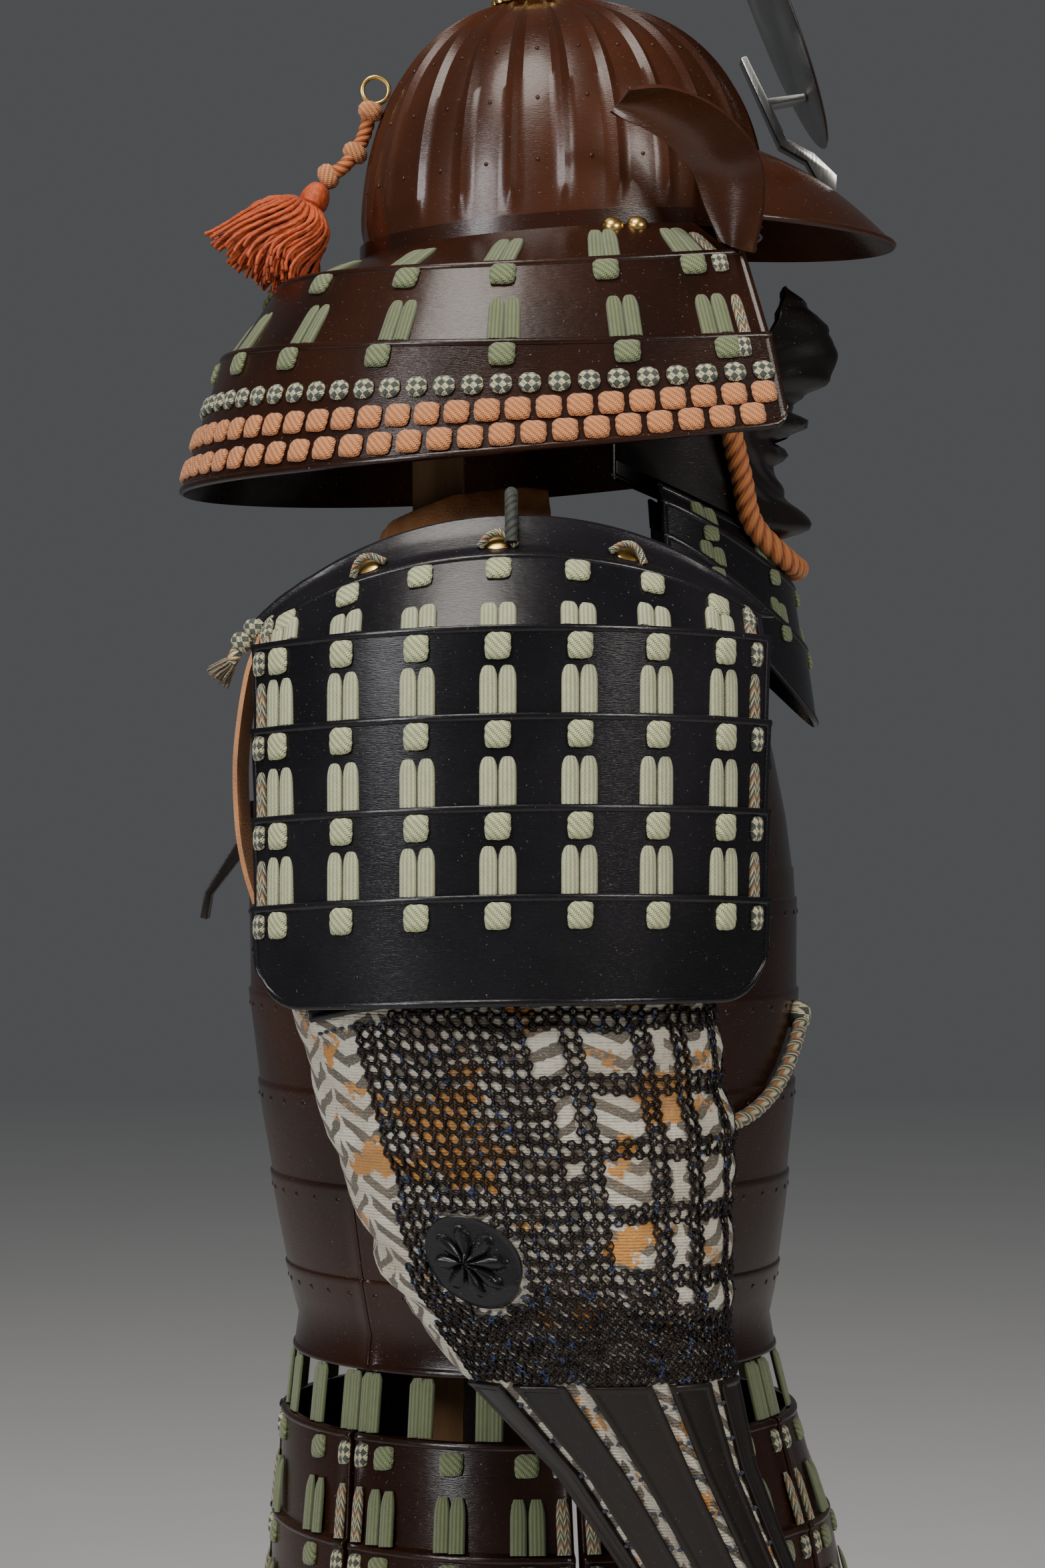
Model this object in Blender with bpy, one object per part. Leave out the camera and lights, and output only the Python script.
"""Suit of lacquered plate armour laced with silk, standing on a wooden post.

The suit faces -Y and its right-hand side is at -X.  Metres, +Z up, z = 0 on the floor.
Helmet, face mask and throat guard, cuirass with seven skirt panels, two shoulder
guards and two armoured sleeves are hollow walls at their real size.
"""

from math import asin, cos, exp, pi, radians, sin, sqrt

import bmesh
import bpy
from mathutils import Vector

# Driving sizes
PLATE = 0.0018          # lacquered plate
GAP = 0.0003            # touching pieces keep this apart
SEAT = 0.0006           # curved pieces that sit on each other keep this apart
BEAD = 0.0012           # turned rim along a plate's edge
BEAD_TALL = 0.0032
CLOTH = 0.0026          # quilted sleeve cloth with its lining
FLOOR_TOP = 0.030       # top of the stand's base board
WAIST_Z = 0.405         # lower edge of the cuirass
ARMPIT_Z = 0.700
BOWL_RIBS = 24


def clear_scene():
    for thing in list(bpy.data.objects):
        bpy.data.objects.remove(thing, do_unlink=True)


def material(name, colour, roughness, metallic=0.0):
    made = bpy.data.materials.new(name)
    made.use_nodes = True
    shader = made.node_tree.nodes["Principled BSDF"]
    shader.inputs["Base Color"].default_value = (*colour, 1.0)
    shader.inputs["Roughness"].default_value = roughness
    shader.inputs["Metallic"].default_value = metallic
    return made


clear_scene()
BROWN_LACQUER = material("brown_lacquer", (0.085, 0.028, 0.012), 0.28)
BLACK_LACQUER = material("black_lacquer", (0.018, 0.015, 0.017), 0.30)
ORANGE_SILK = material("orange_silk", (0.62, 0.19, 0.05), 0.85)
BROCADE = material("brocade", (0.42, 0.39, 0.31), 0.75)
GILT = material("gilt", (0.75, 0.52, 0.16), 0.30, 1.0)
STEEL = material("steel", (0.55, 0.55, 0.54), 0.30, 1.0)
LEATHER = material("tan_leather", (0.45, 0.19, 0.06), 0.70)
WOOD = material("oiled_wood", (0.26, 0.14, 0.06), 0.55)


# Mesh helpers

def add_object(name, mesh_data, finish):
    """Links a bmesh as one named object with its faces pointing out."""
    bmesh.ops.recalc_face_normals(mesh_data, faces=mesh_data.faces)
    mesh = bpy.data.meshes.new(name)
    mesh_data.to_mesh(mesh)
    mesh_data.free()
    mesh.materials.append(finish)
    mesh.shade_smooth()
    mesh.set_sharp_from_angle(angle=radians(32))
    made = bpy.data.objects.new(name, mesh)
    bpy.context.scene.collection.objects.link(made)
    return made


def wall(name, outer, inner, finish, wrap=False, is_hole=None):
    """Closed wall between two grids of points, with cells left out where is_hole(row, column)."""
    mesh_data = bmesh.new()
    rows, columns = len(outer), len(outer[0])
    grids = [[[mesh_data.verts.new(p) for p in row] for row in grid] for grid in (outer, inner)]
    last = columns if wrap else columns - 1

    def solid(row, column):
        if wrap:
            column %= columns
        inside = 0 <= row < rows - 1 and 0 <= column < last
        return inside and not (is_hole and is_hole(row, column))

    for row in range(rows - 1):
        for column in range(last):
            if not solid(row, column):
                continue
            after = (column + 1) % columns
            corners = [(row, column), (row, after), (row + 1, after), (row + 1, column)]
            for side, grid in enumerate(grids):
                loop = [grid[r][c] for r, c in corners]
                mesh_data.faces.new(loop if side else loop[::-1])
            beside = [(row - 1, column), (row, column + 1), (row + 1, column), (row, column - 1)]
            for edge, neighbour in enumerate(beside):
                if solid(*neighbour):
                    continue
                a, b = corners[edge], corners[(edge + 1) % 4]
                ends = [grids[0][a[0]][a[1]], grids[0][b[0]][b[1]]]
                ends += [grids[1][b[0]][b[1]], grids[1][a[0]][a[1]]]
                mesh_data.faces.new(ends)
    loose = [v for v in mesh_data.verts if not v.link_faces]
    bmesh.ops.delete(mesh_data, geom=loose, context="VERTS")
    return add_object(name, mesh_data, finish)


def grid_normals(rows, wrap=False):
    """Unit normal at each point of a grid, from its neighbours along and across."""
    found = []
    for i, row in enumerate(rows):
        line = []
        for j in range(len(row)):
            if wrap:
                before, after = row[j - 1], row[(j + 1) % len(row)]
            else:
                before, after = row[max(j - 1, 0)], row[min(j + 1, len(row) - 1)]
            across = after - before
            along = rows[min(i + 1, len(rows) - 1)][j] - rows[max(i - 1, 0)][j]
            line.append(across.cross(along).normalized())
        found.append(line)
    return found


def shell(name, rows, thickness, finish, wrap=False, is_hole=None, lift=0.0):
    """Wall of even thickness that grows from a grid of points along the grid's normals."""
    normals = grid_normals(rows, wrap)
    inner = [[p + n * lift for p, n in zip(*pair)] for pair in zip(rows, normals)]
    outer = [[p + n * (lift + thickness) for p, n in zip(*pair)] for pair in zip(rows, normals)]
    return wall(name, outer, inner, finish, wrap, is_hole)


def loft(name, loops, finish, closed=False):
    """Solid through closed loops of points, capped at both ends unless the loops close up."""
    mesh_data = bmesh.new()
    rings = [[mesh_data.verts.new(p) for p in loop] for loop in loops]
    pairs = list(zip(rings, rings[1:] + rings[:1] if closed else rings[1:]))
    for near, far in pairs:
        for i in range(len(near)):
            j = (i + 1) % len(near)
            mesh_data.faces.new([near[i], near[j], far[j], far[i]])
    if not closed:
        mesh_data.faces.new(rings[0][::-1])
        mesh_data.faces.new(rings[-1])
    return add_object(name, mesh_data, finish)


def box(name, low, high, finish, bevel=0.0):
    mesh_data = bmesh.new()
    bmesh.ops.create_cube(mesh_data, size=1.0)
    low, high = Vector(low), Vector(high)
    for v in mesh_data.verts:
        v.co = Vector((low[i] + (v.co[i] + 0.5) * (high[i] - low[i]) for i in range(3)))
    if bevel:
        bmesh.ops.bevel(mesh_data, geom=mesh_data.edges[:], offset=bevel, segments=1,
                        affect="EDGES", clamp_overlap=True)
    return add_object(name, mesh_data, finish)


def tube(name, points, radius, finish, sides=8):
    """Solid round cord along a smooth path, capped at both ends."""
    loops = []
    side = Vector((1, 0, 0))
    for i, p in enumerate(points):
        ahead = (points[min(i + 1, len(points) - 1)] - points[max(i - 1, 0)]).normalized()
        side = (side - ahead * side.dot(ahead)).normalized()
        up = ahead.cross(side)
        turns = [2 * pi * k / sides for k in range(sides)]
        loops.append([p + (side * cos(a) + up * sin(a)) * radius for a in turns])
    return loft(name, loops, finish)


def smooth_path(stations, count):
    """Points along a Catmull-Rom curve through the stations."""
    ends = [stations[0] * 2 - stations[1], *stations, stations[-1] * 2 - stations[-2]]
    spans = len(stations) - 1
    made = []
    for i in range(count):
        where = spans * i / (count - 1)
        k = min(int(where), spans - 1)
        t = where - k
        a, b, c, d = ends[k:k + 4]
        made.append((b * 2 + (c - a) * t + (a * 2 - b * 5 + c * 4 - d) * t ** 2
                     + (b * 3 - a - c * 3 + d) * t ** 3) * 0.5)
    return made


def read_table(rows, where, column):
    """Value in a column of a short table, read smoothly between rows; column 0 rises or falls."""
    keys = [r[0] for r in rows]
    if keys[0] > keys[-1]:
        rows, keys = rows[::-1], keys[::-1]
    if where <= keys[0]:
        return rows[0][column]
    for low, high in zip(rows, rows[1:]):
        if where <= high[0]:
            t = (where - low[0]) / (high[0] - low[0])
            return low[column] + (high[column] - low[column]) * t
    return rows[-1][column]


def spread(low, high, count):
    return [low + (high - low) * i / (count - 1) for i in range(count)]


# Lames: curved plates that overlap like tiles, each lower one outside the one above

def lame(name, edge, number, count, columns, finish, outward, overlap=0.010, corner=0.0):
    """Plate number (1 is the top one) of a stack whose joints lie on edge(k, u).

    The plate stands one thickness proud of its neighbour at its top rim and falls back
    to the joint line at its foot, so that the next plate covers it with an even gap.
    """
    is_last = number == count
    lap = overlap if number > 1 else 0.0
    step = 0.01
    ends = [edge(number, columns[0]), edge(number, columns[-1])]
    loops = []
    for u in columns:
        top, foot = edge(number - 1, u), edge(number, u)
        low, high = max(u - step, columns[0]), min(u + step, columns[-1])
        across = edge(number, high) + edge(number - 1, high)
        across -= edge(number, low) + edge(number - 1, low)
        down = (foot - top).normalized()
        out = across.cross(down).normalized() * outward
        length = (foot - top).length
        rise = 0.0
        if is_last and corner:
            away = min((foot - e).length for e in ends)
            if away < corner:
                rise = corner - sqrt(max(corner ** 2 - (corner - away) ** 2, 0.0))
        stand = 0.0 if number == 1 else PLATE + GAP

        def at(s, extra):
            proud = stand * (1 - s / length)
            return top + down * s + out * (proud + extra)

        foot_s = length - rise
        loop = [at(-lap, 0.0), at(-lap, PLATE + BEAD), at(-lap + BEAD_TALL, PLATE + BEAD),
                at(-lap + BEAD_TALL + BEAD, PLATE)]
        if is_last:
            loop += [at(foot_s - BEAD_TALL - BEAD, PLATE), at(foot_s - BEAD_TALL, PLATE + BEAD),
                     at(foot_s, PLATE + BEAD)]
        else:
            loop.append(at(foot_s, PLATE))
        loop.append(at(foot_s, 0.0))
        loops.append(loop)
    return loft(name, loops, finish)


# Helmet bowl: raised ribs run from the rim band up to the hole under the finial

BOWL_Y, BOWL_Z = -0.0245, 1.071       # centre of the rim
BOWL_A, BOWL_B, BOWL_TALL = 0.103, 0.1195, 0.1354
BOWL_TILT = 0.070                     # the rim rises towards the brow
BOWL_POWER = 2.3
BAND_TALL = 0.012
FINIAL_Y = -0.007
RIB_PROUD = 0.0022


def bowl_point(turn, climb, proud=0.0):
    """Point on the bowl; turn 0 is the back, climb 0 is the rim and pi / 2 the crown."""
    reach = cos(climb) ** (2 / BOWL_POWER) if climb > 0 else 1.0
    height = sin(climb) ** (2 / BOWL_POWER) if climb > 0 else climb
    shift = (FINIAL_Y - BOWL_Y) * (1 - reach)
    y = BOWL_Y + shift + (BOWL_B * reach + proud) * cos(turn)
    z = BOWL_Z - BOWL_TILT * (BOWL_Y + BOWL_B * cos(turn) * reach - BOWL_Y)
    return Vector(((BOWL_A * reach + proud) * sin(turn), y, z + (BOWL_TALL + proud) * height))


def make_bowl():
    climbs = [radians(a) for a in (0, 16, 36, 58, 79)]
    rows_out, rows_in = [], []
    turns = []
    for rib in range(BOWL_RIBS):
        turns += [2 * pi * rib / BOWL_RIBS, 2 * pi * (rib + 0.14) / BOWL_RIBS]
    drop = Vector((0, 0, -BAND_TALL))
    rows_out.append([bowl_point(a, 0) + drop for a in turns])
    rows_in.append([bowl_point(a, 0, -PLATE) + drop for a in turns])
    for climb in climbs:
        ribs = [RIB_PROUD * (i % 2 == 0) * (climb > 0) for i in range(len(turns))]
        rows_out.append([bowl_point(a, climb, r) for a, r in zip(turns, ribs)])
        rows_in.append([bowl_point(a, climb, -PLATE) for a in turns])
    wall("helmet_bowl", rows_out, rows_in, BROWN_LACQUER, wrap=True)


def make_finial():
    """Gilt fluted rosette around the hole at the crown."""
    crown = bowl_point(pi / 2, radians(79), RIB_PROUD).z + GAP
    outline = [(0.0255, 0.0), (0.0265, 0.005), (0.0215, 0.0075), (0.019, 0.013), (0.0125, 0.0175),
               (0.0085, 0.0175), (0.0085, 0.0)]
    loops = []
    for i in range(24):
        a = 2 * pi * i / 24
        flute = 1.0 if i % 2 else 0.93
        loops.append([Vector((r * flute * sin(a), FINIAL_Y + r * flute * cos(a),
                              crown + z - BOWL_TILT * r * flute * cos(a))) for r, z in outline])
    loft("crown_finial", loops, GILT, closed=True)


# Neck guard: three curved plates from brow to brow around the back

NECK_ENDS = radians(128)      # how far round the top plate reaches on each side
NECK_BEND = 0.65              # share of each side that is the round back
# side half-width, back y, front y, taper at the front, back z, front z, sag at the side
NECK_JOINTS = [
    (None, None, None, None, None, None, None),
    (0.1440, 0.1473, -0.1275, 0.026, 1.0274, 1.0360, 0.006),
    (0.1680, 0.1785, -0.1410, 0.020, 0.9845, 0.9850, 0.006),
    (0.1850, 0.2032, -0.1500, 0.016, 0.9124, 0.9390, 0.004),
]


def neck_edge(k, w):
    """Joint line k of the neck guard; w runs from -1 (right brow) to 1 (left brow)."""
    if k == 0:
        p = bowl_point(w * NECK_ENDS, 0, 0.0008)
        return p - Vector((0, 0, BAND_TALL))
    a, back, front, taper, z_back, z_front, sag = NECK_JOINTS[k]
    share = abs(w) / NECK_BEND
    if share <= 1:
        x, y = a * sin(share * pi / 2), back * cos(share * pi / 2)
    else:
        share = (share - 1) * NECK_BEND / (1 - NECK_BEND)
        x, y = a - taper * share ** 2, front * share
    run = (back - y) / (back - front)
    z = z_back + (z_front - z_back) * run - sag * sin(pi * min(run, 1.0))
    return Vector((x if w > 0 else -x, y, z))


def make_neck_guard():
    columns = spread(-1, 1, 31)
    drop = Vector((0, 0, BAND_TALL - 0.002))
    # the top plate has an upright flange that is riveted to the bowl's rim band
    rows = [[neck_edge(0, w) + drop for w in columns], [neck_edge(0, w) for w in columns],
            [neck_edge(1, w) for w in columns]]
    shell("neck_plate_1", rows, PLATE, BROWN_LACQUER, lift=0.0)
    for number in (2, 3):
        lame(f"neck_plate_{number}", neck_edge, number, 3, columns, BROWN_LACQUER, 1,
             overlap=0.009, corner=0.012)


# Wings beside the brow: each is a horn-shaped plate that turns out and back
# forward edge y, z and rear edge y, z, and half-width of the helmet there
WING_STATIONS = [
    (-0.1300, 1.0412, -0.1130, 1.0490, 0.1306),
    (-0.1356, 1.0668, -0.1040, 1.0680, 0.1330),
    (-0.1350, 1.0895, -0.0970, 1.0866, 0.1360),
    (-0.1250, 1.1065, -0.0860, 1.0991, 0.1430),
    (-0.1060, 1.1217, -0.0720, 1.1085, 0.1490),
    (-0.0815, 1.1300, -0.0590, 1.1140, 0.1540),
    (-0.0600, 1.1285, -0.0500, 1.1190, 0.1570),
]


def make_wing(side, name):
    rows = []
    for y_front, z_front, y_rear, z_rear, x in WING_STATIONS:
        row = []
        for share in spread(0, 1, 4):
            dish = 0.006 * sin(pi * share)
            row.append(Vector((side * (x + 0.004 - 0.012 * share - dish),
                               y_front + (y_rear - y_front) * share,
                               z_front + (z_rear - z_front) * share)))
        rows.append(row if side < 0 else row[::-1])
    shell(name, rows, PLATE, BROWN_LACQUER)


# Brow peak, with an upstanding flange against the bowl

PEAK_TURN = radians(50)
PEAK_TIP_Y, PEAK_TIP_Z = -0.2228, 1.0604


def peak_point(share, out):
    """share -1..1 across the brow; out 0 at the bowl and 1 at the peak's front edge."""
    a = share * PEAK_TURN
    climb = radians(8 + 4.8 * cos(share * pi / 2))
    seat = bowl_point(pi - a, climb, RIB_PROUD - GAP)
    b = share * radians(84)
    rim = Vector((0.098 * sin(b), -0.098 - (-0.098 - PEAK_TIP_Y) * cos(b), 0))
    rim.z = 1.068 + (PEAK_TIP_Z - 1.068) * cos(b)
    p = seat.lerp(rim, out)
    p.z += 0.007 * sin(pi * out) * cos(b)
    return p


def make_peak():
    rows = [[peak_point(s, out) for s in spread(1, -1, 15)] for out in (0, 0.3, 0.65, 1)]
    shell("brow_peak", rows, PLATE, BROWN_LACQUER)


# Crest: a plain polished disc on a socket over the brow

CREST_RADIUS = 0.090
CREST_TILT = radians(22)
CREST_FOOT = Vector((0, -0.1820, 1.1220))


def make_crest():
    back = Vector((0, cos(CREST_TILT), -sin(CREST_TILT)))
    up = Vector((0, sin(CREST_TILT), cos(CREST_TILT)))
    centre = CREST_FOOT + up * CREST_RADIUS
    loops = []
    for depth, radius in ((0, 0.088), (0.0004, 0.090), (0.0012, 0.090), (0.0016, 0.088)):
        turns = [2 * pi * i / 32 for i in range(32)]
        loops.append([centre - back * depth + (Vector((1, 0, 0)) * cos(a) + up * sin(a)) * radius
                      for a in turns])
    loft("crest_disc", loops, STEEL)


def extrude_outline(name, outline, half_width, finish):
    """Solid from an outline in the y-z plane, drawn out to both sides of x = 0."""
    loops = [[Vector((x, y, z)) for y, z in outline] for x in (-half_width, half_width)]
    return loft(name, loops, finish)


def make_crest_socket():
    """Bent strap from the peak up the brow, with a tongue that carries the disc."""
    rear, fore = peak_point(0, 0.42), peak_point(0, 0.56)
    clear = PLATE - GAP
    outline = [(fore.y, fore.z + clear), (rear.y, rear.z + clear), (-0.1700, 1.1125),
               (-0.1540, 1.1215), (-0.1305, 1.1740), (-0.1340, 1.1755), (-0.1466, 1.1500),
               (-0.1684, 1.1530), (-0.1700, 1.1495), (-0.1485, 1.1455), (-0.1585, 1.1255),
               (-0.1745, 1.1172), (-0.1880, 1.1040)]
    extrude_outline("crest_socket", outline, 0.010, STEEL)


# Ring, knotted cord and tassel at the back of the bowl

def make_back_ring():
    seat = bowl_point(0, radians(36), RIB_PROUD)
    centre = seat + Vector((0, 0.0083, 0.0056))
    loops = []
    for i in range(14):
        a = 2 * pi * i / 14
        out = Vector((0, cos(a), sin(a)))
        turns = [2 * pi * k / 6 for k in range(6)]
        loops.append([centre + out * (0.008 + 0.0015 * cos(b)) + Vector((0.0015 * sin(b), 0, 0))
                      for b in turns])
    loft("back_ring", loops, GILT, closed=True)
    return centre


def make_tassel(ring):
    hang = ring + Vector((0, 0.002, -0.0094))
    head = Vector((0, 0.1205, 1.1000))
    stations = [hang, hang + Vector((0.003, 0.006, -0.020)), hang + Vector((-0.003, 0.016, -0.036)),
                head + Vector((0, -0.0016, 0.0033))]
    tube("tassel_cord", smooth_path(stations, 12), 0.0046, ORANGE_SILK)
    lean = Vector((0, 0.42, -0.9)).normalized()
    side = Vector((1, 0, 0))
    fore = lean.cross(side)
    loops = []
    for along, radius, groove in ((0, 0.007, 0), (0.006, 0.013, 0), (0.020, 0.019, 0.06),
                                  (0.038, 0.027, 0.10), (0.054, 0.032, 0.14)):
        loop = []
        for i in range(24):
            a = 2 * pi * i / 24
            r = radius * (1 - groove * (i % 2))
            loop.append(head + lean * along + side * r * cos(a) + fore * r * 0.6 * sin(a))
        loops.append(loop)
    loft("tassel", loops, ORANGE_SILK)


# Face mask: covers nose to chin, open at the mouth, with a bold nose and a jutting chin

FACE_Y, FACE_B = -0.062, 0.088
MASK_TURNS = (-95, -75, -58, -44, -33, -24, -16, -8, 0, 8, 16, 24, 33, 44, 58, 75, 95)
MASK_ROWS = (0, 0.13, 0.27, 0.36, 0.42, 0.46, 0.50, 0.54, 0.58, 0.62, 0.66, 0.71, 0.82, 0.94, 1)
# height, nose, lips and chin standing forward of the plain curve
MASK_RELIEF = [
    (1.0380, 0.0070, 0.0000),
    (1.0180, 0.0260, 0.0000),
    (0.9965, 0.0376, 0.0000),
    (0.9820, 0.0330, 0.0000),
    (0.9740, 0.0180, 0.0000),
    (0.9680, 0.0080, 0.0030),
    (0.9620, 0.0000, 0.0100),
    (0.9560, 0.0000, 0.0210),
    (0.9500, 0.0000, 0.0090),
    (0.9440, 0.0000, -0.0020),
    (0.9375, 0.0000, 0.0080),
    (0.9300, 0.0000, -0.0020),
    (0.9130, 0.0000, 0.0050),
    (0.8950, 0.0000, 0.0220),
    (0.8856, 0.0000, 0.0000),
]


def mask_foot(turn):
    return 0.8856 + 0.040 * (1 - cos(turn))


def mask_point(degrees_round, share):
    turn = radians(degrees_round)
    top = 0.990 + 0.048 * exp(-(degrees_round / 22) ** 2) + 0.018 * (degrees_round / 95) ** 2
    z = top + (mask_foot(turn) - top) * share
    nose = read_table(MASK_RELIEF, z, 1) * exp(-(degrees_round / 13) ** 2)
    lips = read_table(MASK_RELIEF, z, 2) * exp(-(degrees_round / 23) ** 2)
    cheek = 0.006 * exp(-((z - 0.978) / 0.015) ** 2 - ((abs(degrees_round) - 45) / 16) ** 2)
    half = 0.070 + 0.010 * (1 - share ** 2)
    forward = FACE_B * cos(turn) + nose + lips + cheek
    return Vector((half * sin(turn) * (1 + cheek * 8), FACE_Y - forward, z))


def make_mask():
    rows = [[mask_point(t, share) for t in MASK_TURNS] for share in MASK_ROWS]
    shell("face_mask", rows, PLATE, BROWN_LACQUER, lift=-PLATE,
          is_hole=lambda row, column: row == 8 and 6 <= column < 10)


CORD_RADIUS = 0.0062


def cheek_station(degrees_round, share):
    """Centre of the chin cord where it lies on the mask."""
    p = mask_point(degrees_round, share)
    out = Vector((sin(radians(degrees_round)), -cos(radians(degrees_round)), 0))
    return p + out * (PLATE + CORD_RADIUS + 3 * SEAT)


def make_chin_cord():
    half = [Vector((0.0894, -0.0580, 1.0660)), cheek_station(68, 0.10), cheek_station(55, 0.45),
            cheek_station(48, 0.75), cheek_station(42, 1.0) + Vector((0, 0, -0.003)),
            Vector((0.0330, -0.1575, 0.8720)), Vector((0, -0.1652, 0.8690))]
    stations = half + [Vector((-p.x, p.y, p.z)) for p in half[-2::-1]]
    tube("chin_cord", smooth_path(stations, 25), CORD_RADIUS, ORANGE_SILK, sides=6)



# Throat guard: three plates in a bib under the chin
THROAT_ENDS = radians(80)
# half-width, reach in front of the face's centre, height at the front, height at the ends
THROAT_JOINTS = [
    (0.0700, 0.0880, 0.8856, 0.9187),
    (0.0810, 0.0975, 0.8520, 0.8987),
    (0.0920, 0.1050, 0.8150, 0.8787),
    (0.1030, 0.1130, 0.7740, 0.8587),
]


def throat_edge(k, w):
    half, reach, z_front, z_end = THROAT_JOINTS[k]
    turn = w * THROAT_ENDS
    z = z_end + (z_front - z_end) * max(cos(w * pi / 2), 0.0) ** 1.2
    if k == 0:
        z = mask_foot(turn) - 0.0035
    return Vector((half * sin(turn), FACE_Y - reach * cos(turn), z))


def make_throat_guard():
    columns = spread(-1, 1, 13)
    for number in (1, 2, 3):
        lame(f"throat_plate_{number}", throat_edge, number, 3, columns, BLACK_LACQUER, -1,
             overlap=0.006, corner=0.008)


# Cuirass: five hinged panels, each built from riveted horizontal plates
# height, half-width, depth in front of and behind the centre
TORSO = [
    (0.405, 0.1500, 0.1495, 0.1350),
    (0.425, 0.1460, 0.1462, 0.1322),
    (0.470, 0.1560, 0.1535, 0.1420),
    (0.550, 0.1650, 0.1600, 0.1540),
    (0.618, 0.1690, 0.1624, 0.1610),
    (0.678, 0.1680, 0.1612, 0.1606),
    (0.720, 0.1640, 0.1560, 0.1580),
    (0.760, 0.1560, 0.1480, 0.1510),
    (0.800, 0.1460, 0.1380, 0.1420),
    (0.840, 0.1340, 0.1280, 0.1290),
]
PLATE_JOINTS = (0.457, 0.511, 0.565, 0.619, 0.673)
STEP_PROUD = 0.0012
PANEL_EDGE = 50.0             # front and back panels reach this many degrees each way
PANEL_SLIT = 0.12             # degrees between panels


def ring_point(table, turn, z, proud=0.0):
    """Point on an oval ring; turn 0 is the front and 90 degrees the left side."""
    half, front, back = (read_table(table, z, c) for c in (1, 2, 3))
    depth = front if cos(turn) > 0 else back
    return Vector(((half + proud) * sin(turn), -(depth + proud) * cos(turn), z))


def make_panel(name, low, high, count, crown=None, upper=()):
    """Cuirass panel between two turns in degrees; crown(turn) is its top edge's height."""
    levels = [(WAIST_Z, 0.0), (0.425, 0.0)]
    for joint in PLATE_JOINTS:
        levels += [(joint - 0.0006, STEP_PROUD), (joint + 0.0006, 0.0)]
    levels.append((ARMPIT_Z, STEP_PROUD * 0.5))
    turns = [radians(a) for a in spread(low, high, count)]
    outer = [[ring_point(TORSO, a, z, PLATE + p) for a in turns] for z, p in levels]
    inner = [[ring_point(TORSO, a, z) for a in turns] for z, p in levels]
    for share in upper:
        heights = [ARMPIT_Z + share * (crown(a) - ARMPIT_Z) for a in turns]
        outer.append([ring_point(TORSO, a, z, PLATE) for a, z in zip(turns, heights)])
        inner.append([ring_point(TORSO, a, z) for a, z in zip(turns, heights)])
    wall(name, outer, inner, BROWN_LACQUER)


def front_crown(turn):
    return 0.704 + 0.096 * max(cos(turn * 90 / PANEL_EDGE), 0.0) ** 0.6


def back_crown(turn):
    return 0.704 + 0.131 * max(cos((turn - pi) * 90 / PANEL_EDGE), 0.0) ** 0.5


def make_cuirass():
    slit = PANEL_SLIT
    edge = PANEL_EDGE
    make_panel("cuirass_front", -edge, edge, 11, front_crown, (0.35, 0.7, 1.0))
    make_panel("cuirass_back", 180 - edge, 180 + edge, 11, back_crown, (0.3, 0.65, 1.0))
    make_panel("cuirass_side_left", edge + slit, 180 - edge - slit, 8)
    make_panel("cuirass_side_right_front", -95 + slit, -edge - slit, 5)
    make_panel("cuirass_side_right_back", -180 + edge + slit, -95 - slit, 5)


# Shoulder straps: stiff bands over the stand's shoulder bar, front to back
STRAP_COLUMNS = (0.060, 0.085, 0.110)
STRAP_THICK = 0.004
STRAP_ARCH = [(-0.098, 0.825), (-0.075, 0.853), (-0.040, 0.869), (0.000, 0.8730),
              (0.040, 0.869), (0.078, 0.856), (0.104, 0.832)]


def strap_end(x, z, is_back):
    proud = PLATE + SEAT * 2.5
    turn = asin(x / (read_table(TORSO, z, 1) + proud))
    p = ring_point(TORSO, pi - turn if is_back else turn, z, proud)
    return Vector((x, p.y, z))


def strap_arch_point(x, y, z):
    """The strap turns with the body's curve towards its ends."""
    turn = 0.72 * (y / STRAP_ARCH[-1][0]) ** 2 * (x - STRAP_COLUMNS[1])
    return Vector((x, y - turn if y > 0 else y + turn, z))


def strap_rows(side):
    rows = [[strap_end(x, z, False) for x in STRAP_COLUMNS] for z in (0.748, 0.785)]
    rows += [[strap_arch_point(x, y, z) for x in STRAP_COLUMNS] for y, z in STRAP_ARCH]
    rows += [[strap_end(x, z, True) for x in STRAP_COLUMNS] for z in (0.800, 0.772)]
    rows = [[Vector((p.x * side, p.y, p.z)) for p in row] for row in rows]
    return rows if side > 0 else [row[::-1] for row in rows]


def make_straps():
    for side, word in ((-1, "right"), (1, "left")):
        shell(f"shoulder_strap_{word}", strap_rows(side), STRAP_THICK, BLACK_LACQUER)


def arch_height(y):
    """Height of the straps' underside above a point on the suit's depth."""
    return read_table(STRAP_ARCH, y, 1)


def make_collar():
    """Low padded collar that stands on the straps around the nape."""
    turns = [radians(a) for a in spread(-112, 112, 19)]
    rows_out, rows_in = [], []
    for rise, lean in ((0.0, 0.0), (0.018, -0.001), (0.034, -0.004)):
        line_out, line_in = [], []
        for a in turns:
            y = 0.012 + 0.072 * cos(a)
            foot = arch_height(y) + STRAP_THICK + 0.0020
            for line, reach in ((line_out, 0.0045), (line_in, 0.0)):
                r = 0.074 + lean + reach
                line.append(Vector((r * sin(a), 0.012 + (r - 0.002) * cos(a), foot + rise)))
        rows_out.append(line_out)
        rows_in.append(line_in)
    wall("neck_collar", rows_out, rows_in, LEATHER)


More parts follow.
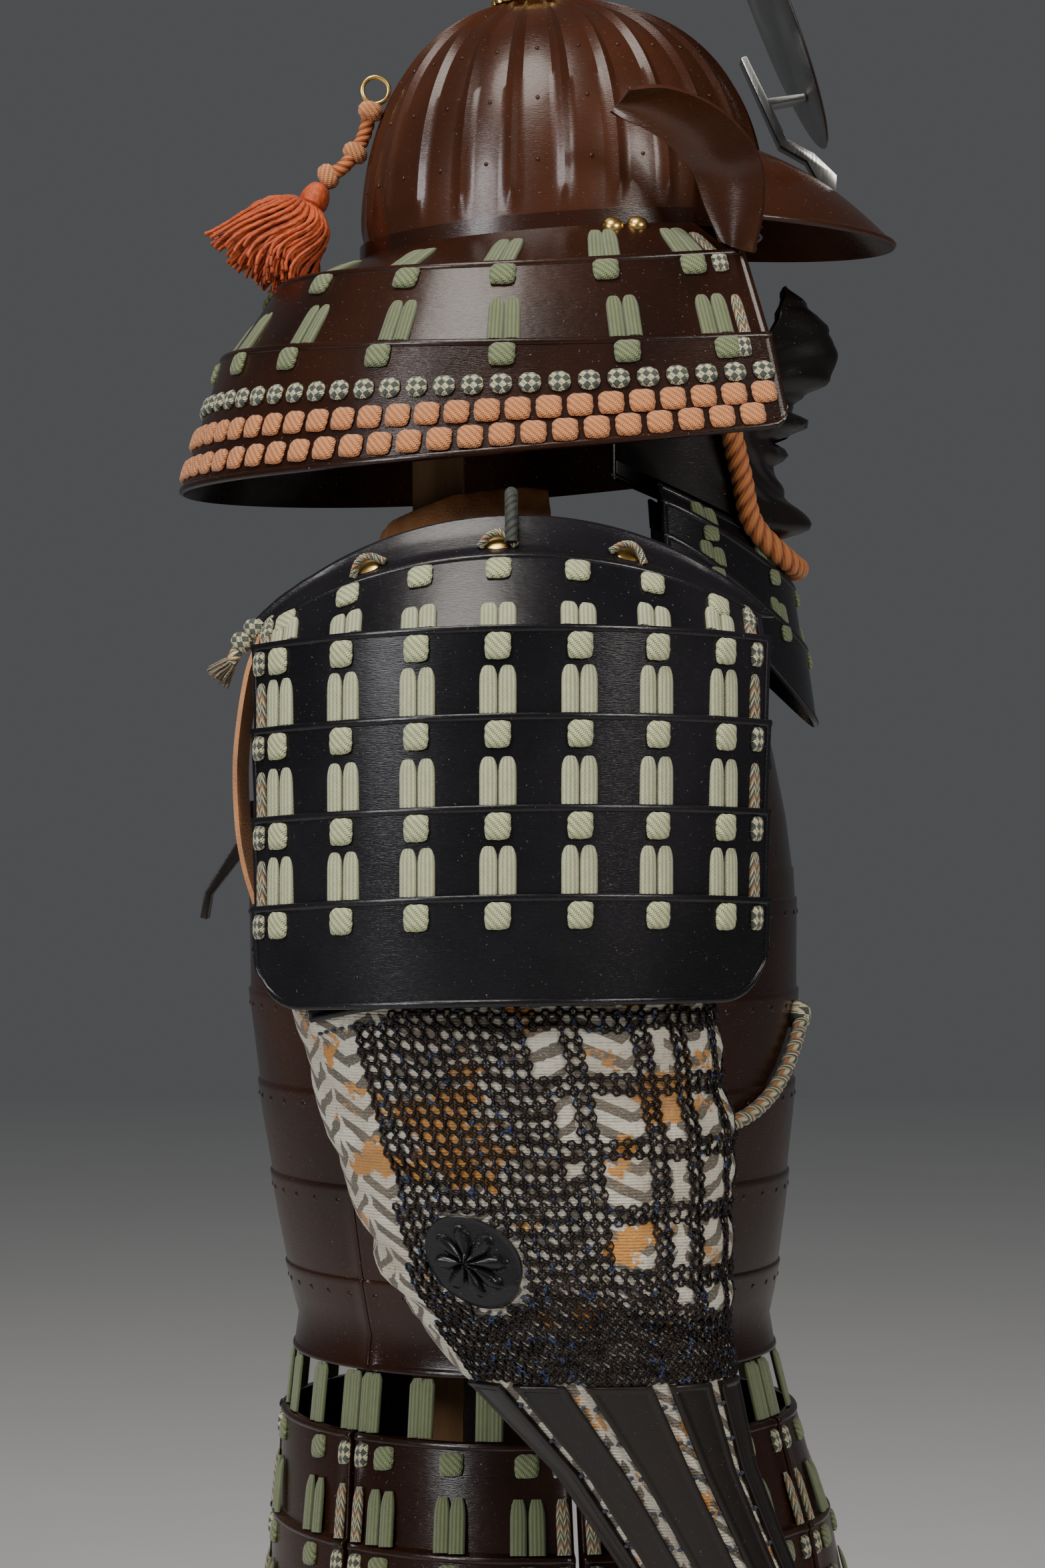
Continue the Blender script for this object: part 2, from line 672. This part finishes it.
# Skirt: seven panels of five plates, hung from the waist on silk laces
# height, half-width, depth in front of and behind the centre
SKIRT = [
    (0.4047, 0.1500, 0.1495, 0.1350),
    (0.3707, 0.1600, 0.1580, 0.1385),
    (0.3107, 0.1770, 0.1780, 0.1440),
    (0.2507, 0.1900, 0.1930, 0.1500),
    (0.1907, 0.2020, 0.2070, 0.1560),
    (0.1307, 0.2130, 0.2190, 0.1620),
    (0.0700, 0.2230, 0.2300, 0.1680),
]
SKIRT_BOUNDS = (-25.5, 25.5, 80.0, 132.0, 180.0, 228.0, 280.0, 334.5)
SKIRT_SLIT = 0.7              # degrees left free at each side of a panel
LACE_COLUMNS = (-1, -0.80, -0.44, -0.22, 0.22, 0.44, 0.80, 1)
LACE_CELLS = (0, 2, 4, 6)     # the columns that are laces between waist and first plate
RIM_PROUD = 0.0048
FOOT_PROUD = 0.0018


def make_skirt():
    rims = [row[0] for row in SKIRT[1:]]
    levels = [(SKIRT[0][0], PLATE)]
    for rim, below in zip(rims, rims[1:]):
        levels += [(rim, RIM_PROUD), (below + 0.0010, FOOT_PROUD)]
    levels[-1] = (rims[-1], RIM_PROUD)
    for number, (low, high) in enumerate(zip(SKIRT_BOUNDS, SKIRT_BOUNDS[1:]), 1):
        low, high = radians(low + SKIRT_SLIT), radians(high - SKIRT_SLIT)
        turns = [low + (high - low) * (u + 1) / 2 for u in LACE_COLUMNS]
        outer = [[ring_point(SKIRT, a, z, p) for a in turns] for z, p in levels]
        inner = [[ring_point(SKIRT, a, z) for a in turns] for z, p in levels]
        wall(f"skirt_panel_{number}", outer, inner, BROWN_LACQUER,
             is_hole=lambda row, column: row == 0 and column not in LACE_CELLS)


# Shoulder guards: a bent top plate over five curved plates, hung outside each arm
GUARD_Y = 0.006
GUARD_ROLL = 0.018            # the front edge hangs higher than the back edge
GUARD_ARC = radians(49.3)
# height, distance from the suit's middle, drop and set-back at the ends, half chord
GUARD_JOINTS = [
    (0.8610, 0.2890, 0.034, 0.046, 0.1330),
    (0.8125, 0.3270, 0.006, 0.062, 0.1350),
    (0.7667, 0.3310, 0.005, 0.062, 0.1350),
    (0.7193, 0.3340, 0.005, 0.062, 0.1345),
    (0.6732, 0.3360, 0.006, 0.062, 0.1345),
    (0.6249, 0.3370, 0.003, 0.062, 0.1340),
]
# the same columns for the bent top plate's fold and its upright flange
GUARD_FOLD = (0.8640, 0.2690, 0.036, 0.040, 0.1330)
GUARD_FLANGE = (0.8848, 0.2520, 0.057, 0.030, 0.1420)


def guard_point(row, u, side):
    """u -1 is the back edge and 1 the front edge."""
    z, out, drop, back, half = row
    bow = (1 - cos(GUARD_ARC * u)) / (1 - cos(GUARD_ARC))
    y = GUARD_Y - half * sin(GUARD_ARC * u) / sin(GUARD_ARC)
    return Vector((side * (out - back * bow), y, z - drop * bow - GUARD_ROLL * (y - GUARD_Y)))


def make_guard(side, word):
    columns = spread(-1, 1, 15)

    def edge(k, u):
        return guard_point(GUARD_JOINTS[k], u, side)

    for number in range(1, 6):
        lame(f"guard_{word}_plate_{number}", edge, number, 5, columns, BLACK_LACQUER, side,
             corner=0.034)
    rows = [[], [], [], []]
    for u in columns:
        top, foot = edge(0, u), edge(1, u)
        down = (foot - top).normalized()
        across = edge(0, min(u + 0.01, 1)) - edge(0, max(u - 0.01, -1))
        inward = across.cross(down).normalized() * -side
        rows[0].append(top + down * 0.010 + inward * (PLATE + SEAT))
        rows[1].append(top + down * 0.002 + inward * (PLATE + SEAT))
        rows[2].append(guard_point(GUARD_FOLD, u, side))
        rows[3].append(guard_point(GUARD_FLANGE, u, side))
    if side > 0:
        rows = [row[::-1] for row in rows]
    shell(f"guard_{word}_top_plate", rows, PLATE, BLACK_LACQUER)


def make_guard_cord(side, word):
    """Braid that hangs the shoulder guard from the cuirass's strap."""
    radius = 0.0034
    above = PLATE + radius + SEAT
    shelf = guard_point(GUARD_JOINTS[0], 0, 1).lerp(guard_point(GUARD_FOLD, 0, 1), 0.8)
    strap_top = arch_height(shelf.y) + STRAP_THICK
    stations = [(shelf.x, shelf.z + above - 0.0008), (0.2640, 0.8870 + above), (0.2480, 0.8890 + above),
                (0.2150, 0.8880), (0.1600, 0.8850), (0.1130, strap_top + radius + 0.0016),
                (0.0900, strap_top + radius + SEAT)]
    points = smooth_path([Vector((side * x, shelf.y, z)) for x, z in stations], 13)
    tube(f"guard_cord_{word}", points, radius, LEATHER, sides=6)


# Sleeves: padded cloth tubes, bent at the elbow, that carry the arm's plates
# centre height, distance out, position along y, half depth, half width, rise of the outer side
SLEEVE = [
    (0.8150, 0.1850, 0.0120, 0.075, 0.0360, 0.0265),
    (0.7600, 0.2250, 0.0140, 0.095, 0.0520, 0.0180),
    (0.6900, 0.2500, 0.0160, 0.108, 0.0600, 0.0000),
    (0.6200, 0.2520, 0.0120, 0.112, 0.0620, 0.0000),
    (0.5500, 0.2520, -0.0030, 0.108, 0.0620, 0.0000),
    (0.4780, 0.2520, -0.0160, 0.092, 0.0600, 0.0000),
    (0.4240, 0.2500, -0.0400, 0.074, 0.0520, 0.0000),
    (0.3970, 0.2485, -0.0560, 0.063, 0.0490, 0.0000),
    (0.3700, 0.2470, -0.0716, 0.053, 0.0460, 0.0000),
    (0.3150, 0.2430, -0.1005, 0.046, 0.0420, 0.0000),
    (0.2850, 0.2410, -0.1165, 0.042, 0.0380, 0.0000),
    (0.2620, 0.2400, -0.1290, 0.040, 0.0360, 0.0000),
]
SLEEVE_TURNS = 24
SLEEVE_POWER = 2.3


def signed_power(value, power):
    return abs(value) ** power * (1 if value > 0 else -1)


def sleeve_point(side, z, turn, proud=0.0):
    """Point on a sleeve; turn 0 is the outer side and pi / 2 the back."""
    out, along, depth, half, rise = (read_table(SLEEVE, z, c) for c in range(1, 6))
    c = signed_power(cos(turn), 2 / SLEEVE_POWER)
    s = signed_power(sin(turn), 2 / SLEEVE_POWER)
    return Vector((side * (out + (half + proud) * c), along + (depth + proud) * s, z + rise * c))


def column_turn(column):
    return 2 * pi * column / SLEEVE_TURNS


def sleeve_grid(side, heights, columns, proud):
    return [[sleeve_point(side, z, column_turn(c), proud) for c in columns] for z in heights]


def make_sleeve(side, word):
    heights = [row[0] for row in SLEEVE]
    columns = range(SLEEVE_TURNS)
    wall(f"sleeve_{word}", sleeve_grid(side, heights, columns, 0.0),
         sleeve_grid(side, heights, columns, -CLOTH), BROCADE, wrap=True)


def make_upper_arm_plate(side, word):
    """Curved plate sewn to the outside of the upper arm, cut higher towards the front."""
    columns = range(-2, 5)
    rows_out, rows_in = [], []
    for share in (0.0, 0.5, 1.0):
        line_out, line_in = [], []
        for c in columns:
            z = 0.690 - share * (0.060 + 0.004 * c)
            line_in.append(sleeve_point(side, z, column_turn(c), 2 * SEAT))
            line_out.append(sleeve_point(side, z, column_turn(c), 2 * SEAT + PLATE))
        rows_out.append(line_out)
        rows_in.append(line_in)
    wall(f"upper_arm_plate_{word}", rows_out, rows_in, BLACK_LACQUER)


def make_splints(side, word):
    """Five forearm splints that end in one wrist band."""
    heights = (0.424, 0.397, 0.370, 0.315, 0.285, 0.272)
    columns = range(-5, 5)
    band = len(heights) - 2
    wall(f"forearm_splints_{word}", sleeve_grid(side, heights, columns, SEAT + PLATE),
         sleeve_grid(side, heights, columns, SEAT), BLACK_LACQUER,
         is_hole=lambda row, column: row < band and column % 2 == 1)


BOSS_Z = 0.490
BOSS_TURN = radians(22)
BOSS_PETALS = 8


def make_elbow_boss(side, word):
    """Round plate over the elbow, raised into a plain eight-petalled flower."""
    rho = read_table(SLEEVE, BOSS_Z, 3) * 0.95
    profile = [(0.0060, 0.0010, 0), (0.0150, 0.0010, 0), (0.0245, 0.0010, 0), (0.0245, 0.0028, 0),
               (0.0200, 0.0052, 1), (0.0130, 0.0046, 0), (0.0080, 0.0066, 0), (0.0030, 0.0075, 0)]
    loops = []
    for radius, proud, lobe in profile:
        loop = []
        for i in range(BOSS_PETALS * 2):
            a = pi * i / BOSS_PETALS
            raised = proud + lobe * 0.0014 * (i % 2)
            loop.append(sleeve_point(side, BOSS_Z + radius * sin(a),
                                     BOSS_TURN + radius * cos(a) / rho, raised))
        loops.append(loop)
    loft(f"elbow_boss_{word}", loops, BLACK_LACQUER)


def make_hand_plate(side, word):
    """Domed plate over the back of the hand, tied on at the wrist."""
    rows_out, rows_in = [], []
    for share in spread(0, 1, 5):
        z = 0.2690 - 0.089 * share
        half = 0.036 * (1 - 0.55 * share ** 3)
        line_out, line_in = [], []
        for column in range(-3, 4):
            across = column / 3
            bulge = 0.2800 + 0.009 * sin(pi * min(share, 1)) - 0.010 * across ** 2
            low = Vector((side * bulge, -0.1330 - 0.014 * share + half * across, z))
            blend = max(1 - share * 4, 0.0)
            seat = sleeve_point(side, z, column_turn(column), SEAT)
            seat_out = sleeve_point(side, z, column_turn(column), SEAT + PLATE)
            line_in.append(low.lerp(seat, blend))
            line_out.append((low + Vector((side * PLATE, 0, 0))).lerp(seat_out, blend))
        rows_out.append(line_out)
        rows_in.append(line_in)
    wall(f"hand_plate_{word}", rows_out, rows_in, BLACK_LACQUER)


# Hinged bracket on the back plate, folded down, where a banner pole would be held

def make_back_bracket():
    outline = [(0.1617, 0.7300), (0.1646, 0.7300), (0.1668, 0.7130), (0.1900, 0.6760),
               (0.1926, 0.6600), (0.1886, 0.6590), (0.1862, 0.6735), (0.1644, 0.7020),
               (0.1617, 0.7010)]
    extrude_outline("back_bracket", outline, 0.012, STEEL)


# Wooden stand: base board, post and head block in one, and a yoke for the shoulders

STAND_SIDES = 20
BASE_HALF = (0.220, 0.190)
POST_HALF = (0.025, 0.015)
POST_Y = 0.0503
BLOCK_FOOT = 1.1450
# distance out, underside, top of the yoke
YOKE = [(-0.2194, 0.812, 0.8370), (-0.120, 0.836, 0.8687), (0.120, 0.836, 0.8687),
        (0.2194, 0.812, 0.8370)]
YOKE_FRONT, YOKE_BACK = -0.005, 0.035


def rectangle_ring(half, y, z, inset=0.0):
    """Points round a rectangle, with one at each corner."""
    per_side = STAND_SIDES // 4
    a, b = half[0] - inset, half[1] - inset
    corners = [(-a, b), (a, b), (a, -b), (-a, -b)]
    ring = []
    for (x0, y0), (x1, y1) in zip(corners, corners[1:] + corners[:1]):
        for i in range(per_side):
            t = i / per_side
            ring.append(Vector((x0 + (x1 - x0) * t, y + y0 + (y1 - y0) * t, z)))
    return ring


def make_stand():
    """The head block is shaped to the inside of the bowl's crown."""
    loops = [rectangle_ring(BASE_HALF, 0, 0, 0.002), rectangle_ring(BASE_HALF, 0, 0.002),
             rectangle_ring(BASE_HALF, 0, FLOOR_TOP - 0.004),
             rectangle_ring(BASE_HALF, 0, FLOOR_TOP, 0.004),
             rectangle_ring(POST_HALF, POST_Y, FLOOR_TOP),
             rectangle_ring(POST_HALF, POST_Y, BLOCK_FOOT)]
    turns = [2 * pi * (i / STAND_SIDES) - radians(45) for i in range(STAND_SIDES)]
    block = [[bowl_point(a, radians(up), -PLATE - 2 * SEAT) for a in turns] for up in (36, 58, 79)]
    loops.append([Vector((p.x, p.y, BLOCK_FOOT)) for p in block[0]])
    loft("stand", loops + block, WOOD)
    loops = []
    for x, low, high in YOKE:
        loops.append([Vector((x, y, z)) for y, z in ((YOKE_FRONT, low), (YOKE_BACK, low),
                                                     (YOKE_BACK, high), (YOKE_FRONT, high))])
    loft("shoulder_yoke", loops, WOOD)


make_stand()
make_bowl()
make_finial()
make_neck_guard()
for side, word in ((-1, "right"), (1, "left")):
    make_wing(side, f"brow_wing_{word}")
make_peak()
make_crest()
make_crest_socket()
make_tassel(make_back_ring())
make_chin_cord()
make_mask()
make_throat_guard()
make_cuirass()
make_straps()
make_collar()
make_skirt()
for side, word in ((-1, "right"), (1, "left")):
    make_guard(side, word)
    make_guard_cord(side, word)
    make_sleeve(side, word)
    make_upper_arm_plate(side, word)
    make_elbow_boss(side, word)
    make_splints(side, word)
    make_hand_plate(side, word)
make_back_bracket()
